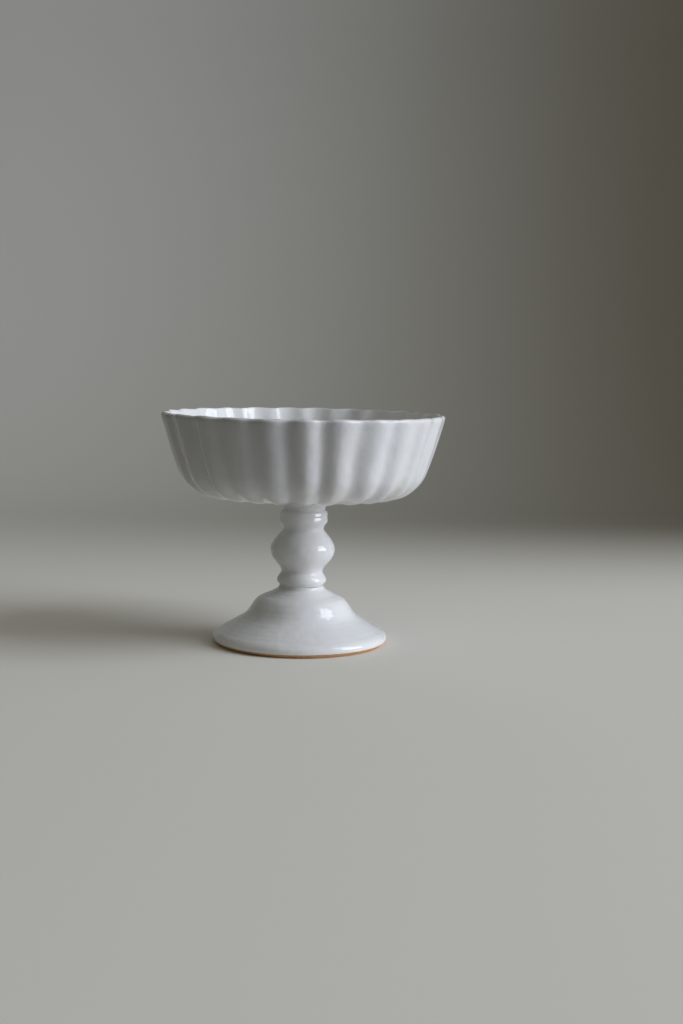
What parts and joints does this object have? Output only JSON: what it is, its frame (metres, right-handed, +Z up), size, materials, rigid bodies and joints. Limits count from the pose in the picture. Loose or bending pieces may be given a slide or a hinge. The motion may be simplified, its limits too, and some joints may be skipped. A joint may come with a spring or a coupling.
{
  "type": "footed compote bowl",
  "caption": "White glazed fluted bowl on a hollow baluster stem and a flared bell foot, for serving or showing fruit, sweets or flowers.",
  "frame": {"origin": "on the table, under the middle of the foot", "axes": "+Z up through the stem and the bowl, -Y towards the front seen in the picture, +X to the right"},
  "size_m": [0.1822, 0.182, 0.1488],
  "materials": {
    "white_glaze": "gloss",
    "fired_slip": "matte"
  },
  "bodies": {
    "root": {"bowl": "white_glaze", "bowl_slip": "fired_slip", "bowl_luting_coil": "white_glaze", "stem": "white_glaze", "foot_slip": "fired_slip", "foot_luting_coil": "white_glaze", "foot": "white_glaze"}
  },
  "joints": []
}
